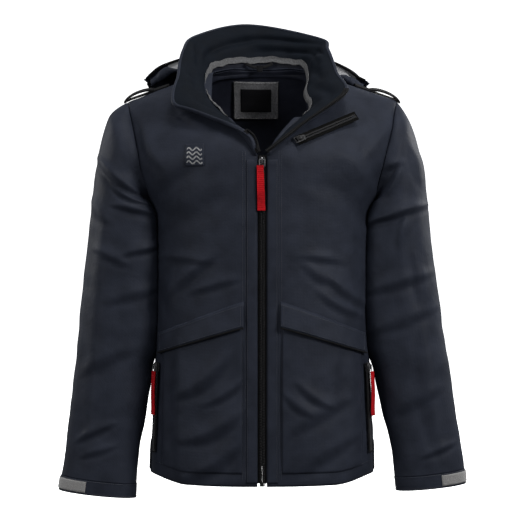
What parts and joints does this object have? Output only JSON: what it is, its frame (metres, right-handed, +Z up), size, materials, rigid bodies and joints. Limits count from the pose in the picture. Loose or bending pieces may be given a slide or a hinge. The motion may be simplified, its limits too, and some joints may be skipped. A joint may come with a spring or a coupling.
{
  "type": "foul weather jacket",
  "caption": "Hip-length hooded waterproof jacket with a full front zip, splayed stand collar, flapped pockets, side zips and adjustable cuffs.",
  "frame": {"origin": "middle of the neck opening, level with the side of the neck seam, where the wearer's or the dress form's neck passes", "axes": "+Z up along the neck, -Y out of the front, +X to the wearer's left"},
  "size_m": [0.7252, 0.3098, 0.8457],
  "materials": {
    "navy_shell": "woven matte",
    "dark_shell": "matte",
    "lining": "satin",
    "red_webbing": "woven",
    "zip_black": "moulded",
    "zip_tape": "woven",
    "slider_metal": "satin",
    "grey_tape": "matte",
    "label": "woven",
    "emblem": "satin",
    "hook_grey": "hook and loop",
    "black_webbing": "woven"
  },
  "bodies": {
    "shell": {"left_front_panel": "navy_shell", "right_front_panel": "navy_shell", "back_panel": "navy_shell", "back_yoke": "navy_shell", "left_front_lining": "lining", "right_front_lining": "lining", "back_lining": "lining", "left_pocket_panel": "navy_shell", "right_pocket_panel": "navy_shell", "left_placket": "navy_shell", "right_placket": "navy_shell", "left_side_vent": "dark_shell", "right_side_vent": "dark_shell", "chest_emblem": "emblem", "collar_outer": "navy_shell", "collar_facing": "navy_shell", "neck_tape": "grey_tape", "hanger_loop": "black_webbing", "neck_label": "label", "size_label": "label", "hood_shell": "navy_shell", "hood_lining": "lining", "hood_trim": "black_webbing", "left_shoulder_loop": "black_webbing", "right_shoulder_loop": "black_webbing", "left_zip_tape": "zip_tape", "right_zip_tape": "zip_tape", "left_zip_teeth": "zip_black", "right_zip_teeth": "zip_black", "zip_bottom_box": "zip_black", "zip_bottom_pin": "zip_black", "left_side_zip_tape": "zip_tape", "right_side_zip_tape": "zip_tape", "left_side_zip_teeth": "zip_black", "right_side_zip_teeth": "zip_black", "chest_zip_tape": "zip_tape", "chest_zip_teeth": "zip_black"},
    "left_flap": {"left_pocket_flap": "navy_shell"},
    "right_flap": {"right_pocket_flap": "navy_shell"},
    "left_sleeve": {"left_sleeve": "navy_shell", "left_sleeve_lining": "lining", "left_cuff": "navy_shell", "left_hook_patch": "hook_grey"},
    "right_sleeve": {"right_sleeve": "navy_shell", "right_sleeve_lining": "lining", "right_cuff": "navy_shell", "right_hook_patch": "hook_grey"},
    "left_tab": {"left_cuff_tab": "hook_grey"},
    "right_tab": {"right_cuff_tab": "hook_grey"},
    "main_slider": {"main_zip_slider": "slider_metal"},
    "main_pull": {"main_zip_ring": "slider_metal", "main_zip_webbing": "red_webbing"},
    "left_side_slider": {"left_side_zip_slider": "slider_metal"},
    "right_side_slider": {"right_side_zip_slider": "slider_metal"},
    "left_side_pull": {"left_side_zip_ring": "slider_metal", "left_side_zip_webbing": "red_webbing"},
    "right_side_pull": {"right_side_zip_ring": "slider_metal", "right_side_zip_webbing": "red_webbing"},
    "chest_slider": {"chest_zip_slider": "slider_metal"},
    "chest_pull": {"chest_zip_ring": "slider_metal"}
  },
  "joints": [
    {"name": "main_zip_slide", "type": "slide", "parent": "shell", "child": "main_slider", "axis": [0, 0, -1], "range_m": [0, 0.53]},
    {"name": "main_pull_swing", "type": "hinge", "parent": "main_slider", "child": "main_pull", "pos_m": [0, -0.14305, -0.1581], "axis": [-1, 0, 0], "range_deg": [0, 150]},
    {"name": "chest_zip_slide", "type": "slide", "parent": "shell", "child": "chest_slider", "axis": [0.8297, 0.4108, 0.3779], "range_m": [0, 0.104]},
    {"name": "chest_pull_swing", "type": "hinge", "parent": "chest_slider", "child": "chest_pull", "pos_m": [0.06538, -0.13896, -0.12174], "axis": [-0.493, 0.2219, 0.8413], "range_deg": [0, 150]},
    {"name": "left_side_zip_slide", "type": "slide", "parent": "shell", "child": "left_side_slider", "axis": [0.0373, 0.0044, -0.9993], "range_m": [0, 0.13]},
    {"name": "left_side_pull_swing", "type": "hinge", "parent": "left_side_slider", "child": "left_side_pull", "pos_m": [0.18822, -0.0669, -0.51175], "axis": [-0.4287, -0.9032, -0.0199], "range_deg": [0, 110]},
    {"name": "right_side_zip_slide", "type": "slide", "parent": "shell", "child": "right_side_slider", "axis": [-0.0373, 0.0044, -0.9993], "range_m": [0, 0.13]},
    {"name": "right_side_pull_swing", "type": "hinge", "parent": "right_side_slider", "child": "right_side_pull", "pos_m": [-0.18822, -0.0669, -0.51175], "axis": [-0.4287, 0.9032, 0.0199], "range_deg": [0, 110]},
    {"name": "left_flap_lift", "type": "hinge", "parent": "shell", "child": "left_flap", "pos_m": [0.12359, -0.1283, -0.41996], "axis": [-0.8202, -0.4715, 0.3239], "range_deg": [0, 100]},
    {"name": "right_flap_lift", "type": "hinge", "parent": "shell", "child": "right_flap", "pos_m": [-0.12359, -0.1283, -0.41996], "axis": [-0.8202, 0.4715, -0.3239], "range_deg": [0, 100]},
    {"name": "left_sleeve_raise", "type": "hinge", "parent": "shell", "child": "left_sleeve", "pos_m": [0.2415, 0, -0.0425], "axis": [0, -1, 0], "range_deg": [0, 65]},
    {"name": "right_sleeve_raise", "type": "hinge", "parent": "shell", "child": "right_sleeve", "pos_m": [-0.2415, 0, -0.0425], "axis": [0, 1, 0], "range_deg": [0, 65]},
    {"name": "left_cuff_tab_lift", "type": "hinge", "parent": "left_sleeve", "child": "left_tab", "pos_m": [0.35841, -0.02587, -0.71469], "axis": [-0.1115, 0, 0.9938], "range_deg": [0, 110]},
    {"name": "right_cuff_tab_lift", "type": "hinge", "parent": "right_sleeve", "child": "right_tab", "pos_m": [-0.35841, -0.02587, -0.71469], "axis": [-0.1115, 0, -0.9938], "range_deg": [0, 110]}
  ]
}
